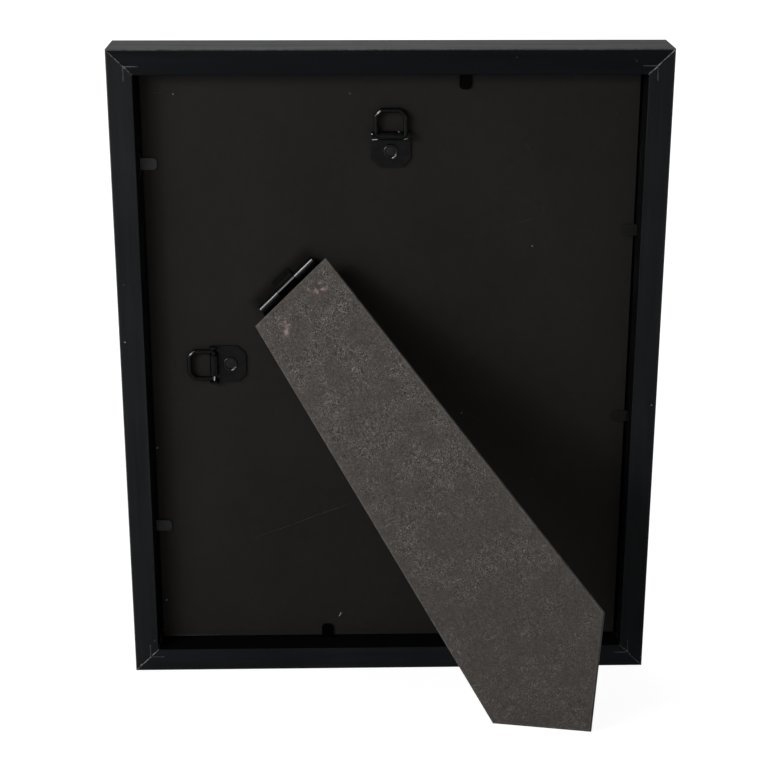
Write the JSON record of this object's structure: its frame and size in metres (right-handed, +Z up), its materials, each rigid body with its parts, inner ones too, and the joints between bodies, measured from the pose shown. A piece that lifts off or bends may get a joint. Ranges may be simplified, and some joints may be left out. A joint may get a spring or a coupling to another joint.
{
  "type": "easel-back picture frame",
  "caption": "Leaning tabletop picture frame seen from behind: mitred black rails, backer held by bendable tabs, ring hangers and a diagonal folding easel leg.",
  "frame": {"origin": "bottom centre of the bounding box of the frame standing on its lower back edge and leg", "axes": "+Z up, +Y out of the back towards the leg, +X to the left as seen from behind"},
  "size_m": [0.2272, 0.1494, 0.2707],
  "materials": {
    "frame_black": "satin black paint over moulded wood",
    "nail_steel": "bare strip steel",
    "glass_clear": "clear picture glass",
    "paper_white": "blank photo paper",
    "card_grey": "plain filler card",
    "backer_black": "brown-black paper-faced fibreboard",
    "leg_grey": "charcoal paper-covered board",
    "steel_black": "glossy black enamelled steel",
    "steel_bright": "plated steel"
  },
  "bodies": {
    "frame": {"rail_top": "frame_black", "rail_bottom": "frame_black", "rail_left": "frame_black", "rail_right": "frame_black", "v_nails": "nail_steel", "glass_pane": "glass_clear", "print_sheet": "paper_white", "filler_card": "card_grey", "backer_board": "backer_black", "flex_point_roots": "steel_black", "hinge_leaf_backer": "steel_black", "hinge_pin": "steel_black", "backer_rivets": "steel_bright", "hanger_plate_top": "steel_black", "hanger_rivet_top": "steel_black", "hanger_plate_side": "steel_black", "hanger_rivet_side": "steel_black"},
    "easel_leg": {"easel_leg": "leg_grey", "hinge_leaf_leg": "steel_black", "leg_rivets": "steel_bright"},
    "ring_top": {"hanger_ring_top": "steel_black"},
    "ring_side": {"hanger_ring_side": "steel_black"},
    "flex_point_bottom": {"flex_point_bottom": "steel_black"},
    "flex_point_top": {"flex_point_top": "steel_black"},
    "flex_point_left_upper": {"flex_point_left_upper": "steel_black"},
    "flex_point_left_lower": {"flex_point_left_lower": "steel_black"},
    "flex_point_right_upper": {"flex_point_right_upper": "steel_black"},
    "flex_point_right_lower": {"flex_point_right_lower": "steel_black"}
  },
  "joints": [
    {"name": "leg_hinge", "type": "hinge", "parent": "frame", "child": "easel_leg", "pos_m": [0.0432, -0.00113, 0.17086], "axis": [-0.7071, 0.2267, 0.6698], "range_deg": [0, 34.2]},
    {"name": "top_ring_pivot", "type": "hinge", "parent": "frame", "child": "ring_top", "pos_m": [0, 0.01804, 0.2311], "axis": [-1, 0, 0], "range_deg": [0, 170]},
    {"name": "side_ring_pivot", "type": "hinge", "parent": "frame", "child": "ring_side", "pos_m": [0.075, -0.0137, 0.13732], "axis": [0, 0.3206, 0.9472], "range_deg": [0, 170]},
    {"name": "flex_point_bottom_bend", "type": "hinge", "parent": "frame", "child": "flex_point_bottom", "pos_m": [0.0279, -0.05708, 0.01323], "axis": [-1, 0, 0], "range_deg": [0, 80]},
    {"name": "flex_point_top_bend", "type": "hinge", "parent": "frame", "child": "flex_point_top", "pos_m": [-0.0303, 0.02497, 0.25562], "axis": [1, 0, 0], "range_deg": [0, 80]},
    {"name": "flex_point_left_upper_bend", "type": "hinge", "parent": "frame", "child": "flex_point_left_upper", "pos_m": [0.10255, 0.01303, 0.22034], "axis": [0, -0.3206, -0.9472], "range_deg": [0, 80]},
    {"name": "flex_point_left_lower_bend", "type": "hinge", "parent": "frame", "child": "flex_point_left_lower", "pos_m": [0.10255, -0.0391, 0.06632], "axis": [0, -0.3206, -0.9472], "range_deg": [0, 80]},
    {"name": "flex_point_right_upper_bend", "type": "hinge", "parent": "frame", "child": "flex_point_right_upper", "pos_m": [-0.10255, 0.00379, 0.19306], "axis": [0, 0.3206, 0.9472], "range_deg": [0, 80]},
    {"name": "flex_point_right_lower_bend", "type": "hinge", "parent": "frame", "child": "flex_point_right_lower", "pos_m": [-0.10255, -0.02298, 0.11396], "axis": [0, 0.3206, 0.9472], "range_deg": [0, 80]}
  ]
}
